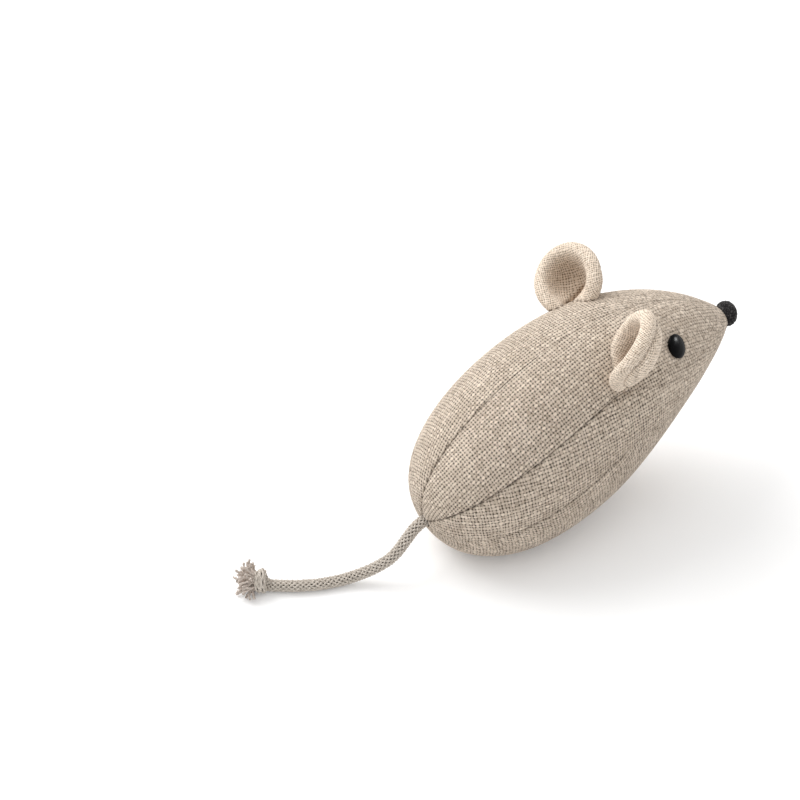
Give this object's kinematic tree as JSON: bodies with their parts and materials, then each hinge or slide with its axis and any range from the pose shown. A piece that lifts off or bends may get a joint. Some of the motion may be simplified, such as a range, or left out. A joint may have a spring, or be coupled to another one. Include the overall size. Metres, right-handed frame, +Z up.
{
  "type": "catnip mouse",
  "caption": "Stuffed linen toy mouse for a cat: sewn panels round soft filling with a catnip pouch, padded cup ears, bead eyes, felt nose and a knotted braided cord tail.",
  "frame": {"origin": "on the floor under the middle of the toy's box, tail left out", "axes": "+X from the tail end to the nose, +Y to the toy's left, +Z up from the belly it rests on"},
  "size_m": [0.1719, 0.0598, 0.0769],
  "materials": {
    "linen": "natural beige linen in an open plain weave, matte",
    "ear_linen": "natural linen in a slightly warmer beige, matte",
    "stuffing_fibre": "off-white polyester fibre fill, matte",
    "muslin": "thin unbleached cotton muslin, matte",
    "dried_leaf": "crumbled dried green leaf, matte",
    "eye_bead": "polished black moulded plastic",
    "washer_plastic": "plain white moulded plastic",
    "nose_felt": "charcoal wool felt, matte",
    "tail_cord": "braided cotton cord in grey beige, matte"
  },
  "bodies": {
    "root": {"back_panel_left": "linen", "back_panel_right": "linen", "flank_panel_left": "linen", "flank_panel_right": "linen", "belly_panel": "linen", "ear_lining_left": "ear_linen", "ear_lining_right": "ear_linen", "ear_back_left": "ear_linen", "ear_back_right": "ear_linen", "stuffing": "stuffing_fibre", "ear_wadding_left": "stuffing_fibre", "ear_wadding_right": "stuffing_fibre", "pouch_upper": "muslin", "pouch_lower": "muslin", "catnip_filling": "dried_leaf", "eye_left": "eye_bead", "eye_right": "eye_bead", "eye_washer_left": "washer_plastic", "eye_washer_right": "washer_plastic", "nose": "nose_felt", "tail_anchor_knot": "tail_cord", "tail_cord": "tail_cord", "tail_end_knot": "tail_cord", "tail_tassel": "tail_cord"}
  },
  "joints": []
}
